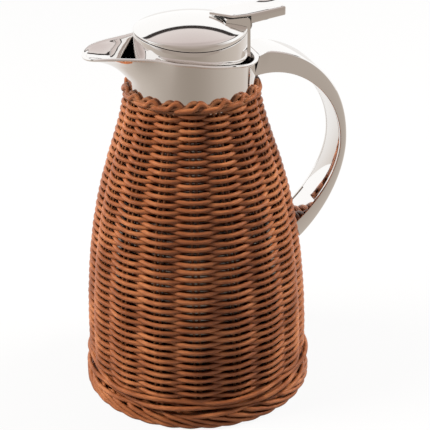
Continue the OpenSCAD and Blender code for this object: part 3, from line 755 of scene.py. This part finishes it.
def floor():
    """Table top: white with a faint shadow to the camera, mid grey in the light that it throws back."""
    half = 6.0
    bm = bmesh.new()
    bmesh.ops.create_grid(bm, x_segments=1, y_segments=1, size=half)
    mesh = bpy.data.meshes.new("table_top")
    bm.to_mesh(mesh)
    bm.free()
    material = bpy.data.materials.new("white table top")
    material.use_nodes = True
    tree = material.node_tree
    tree.nodes.clear()
    matt = add(tree, "ShaderNodeBsdfDiffuse", {"Color": linear("#ABA7A4")})
    white = add(tree, "ShaderNodeEmission", {"Color": (1, 1, 1, 1), "Strength": 1.0})
    seen = add(tree, "ShaderNodeMixShader", {"Fac": 0.9, 1: matt.outputs[0], 2: white.outputs[0]})
    # mirrored in the chrome: grey on the camera's side, paler towards both sides and behind
    place = add(tree, "ShaderNodeTexCoord").outputs["Object"]
    way = add(tree, "ShaderNodeVectorMath", {0: place}, operation="NORMALIZE").outputs["Vector"]
    dot = add(tree, "ShaderNodeVectorMath", {0: way, 1: CAMERA_SIDE}, operation="DOT_PRODUCT")
    share = add(tree, "ShaderNodeMapRange", {"Value": dot.outputs["Value"], "From Min": -1.0})
    stops = [(0.0, "#F4F2F0"), (0.17, "#E6E0DB"), (0.41, "#CFC5BC"),
             (0.68, "#C2B8AE"), (0.88, "#B2A79D"), (1.0, "#9F9489")]
    tone = add(tree, "ShaderNodeValToRGB", {"Fac": share.outputs["Result"]}, stops).outputs["Color"]
    grey = add(tree, "ShaderNodeEmission", {"Color": tone, "Strength": 1.0})
    add(tree, "ShaderNodeOutputMaterial", {"Surface": by_ray(tree, matt, grey, seen)})
    mesh.materials.append(material)
    obj = bpy.data.objects.new("table_top", mesh)
    bpy.context.scene.collection.objects.link(obj)


def studio():
    """The room: white to the camera, soft light on the object, walls and ceiling in the chrome."""
    world = bpy.data.worlds.new("studio")
    bpy.context.scene.world = world
    world.use_nodes = True
    tree = world.node_tree
    tree.nodes.clear()
    way = add(tree, "ShaderNodeTexCoord").outputs["Generated"]
    height = add(tree, "ShaderNodeSeparateXYZ", {"Vector": way}).outputs["Z"]
    dot = add(tree, "ShaderNodeVectorMath", {0: way, 1: CAMERA_SIDE}, operation="DOT_PRODUCT")
    side = dot.outputs["Value"]
    # mirrored: behind, a white wall up to 36 degrees, a dark gap to 40, then a greyer ceiling
    stops = [(0.0, "#FFFFFF"), (0.582, "#FFFFFF"), (0.589, "#3A3534"), (0.648, "#3A3534"),
             (0.655, "#E2DAD7"), (0.88, "#CFC3C0"), (1.0, "#BDB1AD")]
    behind = add(tree, "ShaderNodeValToRGB", {"Fac": height}, stops).outputs["Color"]
    # and on the camera's side a dim room
    stops = [(0.0, "#A3978E"), (0.5, "#AFA39B"), (1.0, "#BDB1AD")]
    front = add(tree, "ShaderNodeValToRGB", {"Fac": height}, stops).outputs["Color"]
    towards_front = {"Value": side, "From Min": 0.05, "From Max": 0.6}
    share = add(tree, "ShaderNodeMapRange", towards_front).outputs["Result"]
    wall = add(tree, "ShaderNodeMix", {0: share, 6: behind, 7: front}, data_type="RGBA").outputs[2]
    mirrored = add(tree, "ShaderNodeBackground", {"Color": wall, "Strength": 1.08})
    # light on the object: from both sides, above and behind, little from the camera's side
    from_side = {"Value": side, "From Min": -0.2, "From Max": 0.8, "To Min": 0.66, "To Max": 0.07}
    from_above = {"Value": height, "From Min": 0.0, "From Max": 0.8, "To Min": 0.25, "To Max": 1.3}
    level = add(tree, "ShaderNodeMapRange", from_side).outputs["Result"]
    raised = add(tree, "ShaderNodeMapRange", from_above).outputs["Result"]
    power = add(tree, "ShaderNodeMath", {0: level, 1: raised}, operation="MULTIPLY").outputs["Value"]
    soft = add(tree, "ShaderNodeBackground", {"Color": linear("#FFFCF8"), "Strength": power})
    white = add(tree, "ShaderNodeBackground", {"Color": (1, 1, 1, 1), "Strength": 1.0})
    add(tree, "ShaderNodeOutputWorld", {"Surface": by_ray(tree, soft, mirrored, white)})


def softbox(name, place, watts):
    """Round white area light that points at the object and shows in no mirror."""
    aim = Vector((0, 0, 0.12))  # middle of the object
    data = bpy.data.lights.new(name, "AREA")
    data.shape = "DISK"
    data.size = 0.8
    data.energy = watts
    obj = bpy.data.objects.new(name, data)
    bpy.context.scene.collection.objects.link(obj)
    obj.location = place
    obj.rotation_euler = (aim - Vector(place)).to_track_quat("-Z", "Y").to_euler()
    obj.visible_glossy = False
    obj.visible_camera = False


def camera():
    """Long lens, looking down on the jug from its side."""
    distance, height = 800.0, 513.67  # mm from the jug's axis and above the table
    pitch, yaw, roll = (math.radians(v) for v in (26.38, 0.96, -0.84))
    ahead = Vector((math.sin(yaw) * math.cos(pitch), math.cos(yaw) * math.cos(pitch), -math.sin(pitch)))
    right = Vector((math.cos(yaw), -math.sin(yaw), 0))
    up = right.cross(ahead)
    c, s = math.cos(roll), math.sin(roll)
    right, up = right * c + up * s, up * c - right * s
    turn = Matrix.Rotation(CAMERA_AROUND, 3, "Z")
    right, up, ahead = turn @ right, turn @ up, turn @ ahead
    data = bpy.data.cameras.new("camera")
    data.sensor_width = 36.0
    data.lens = 113.85
    data.clip_start = 0.01
    obj = bpy.data.objects.new("camera", data)
    bpy.context.scene.collection.objects.link(obj)
    stand = Matrix((right, up, -ahead)).transposed().to_4x4()
    stand.translation = (turn @ Vector((0, -distance, height))) * MM
    obj.matrix_world = stand
    bpy.context.scene.camera = obj


floor()
studio()
softbox("left_softbox", (-1.15, 0.2, 1.2), 50)
softbox("right_softbox", (1.15, 0.0, 1.15), 42)
camera()
bpy.context.scene.view_settings.view_transform = "Standard"
